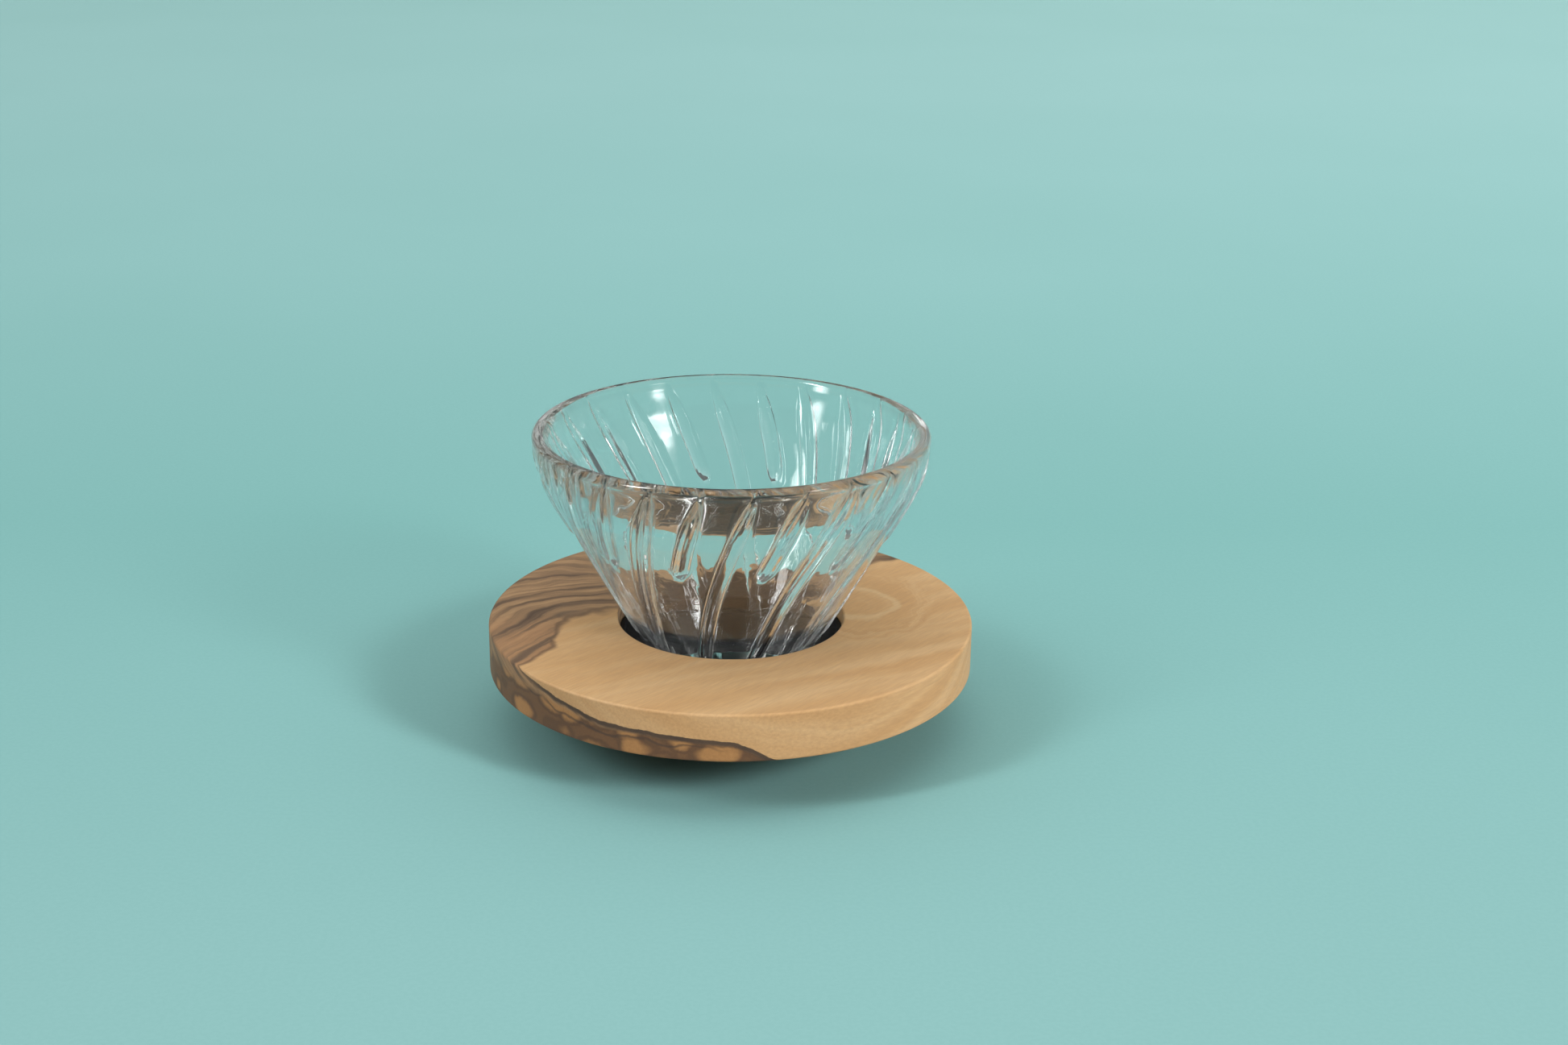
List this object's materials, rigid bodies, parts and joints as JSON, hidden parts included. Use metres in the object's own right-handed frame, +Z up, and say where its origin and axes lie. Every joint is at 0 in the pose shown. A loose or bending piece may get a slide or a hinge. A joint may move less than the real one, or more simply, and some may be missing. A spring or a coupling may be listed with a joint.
{
  "type": "pour over dripper",
  "caption": "Ribbed glass cone for pour over coffee, held in a flat round olive wood collar by a black silicone band round its lower end.",
  "frame": {"origin": "centre of the glass outlet's end face, on the surface that the dripper stands on", "axes": "+Z up along the cone's axis, towards the rim; +X to the right seen from the front; -Y towards the front"},
  "size_m": [0.14, 0.14, 0.0882],
  "materials": {
    "clear_glass": "clear pressed glass, fire polished",
    "olive_wood": "turned olive wood, lightly oiled, dark heartwood streaks over a honey ground",
    "black_silicone": "moulded black silicone, satin"
  },
  "bodies": {
    "collar": {"wood_collar": "olive_wood"},
    "glass": {"glass_cone": "clear_glass"},
    "band": {"silicone_band": "black_silicone"}
  },
  "joints": [
    {"name": "glass_lift", "type": "slide", "parent": "collar", "child": "glass", "axis": [0, 0, 1], "range_m": [0, 0.08]},
    {"name": "band_pull", "type": "slide", "parent": "collar", "child": "band", "axis": [0, 0, -1], "range_m": [0, 0.0135]}
  ]
}
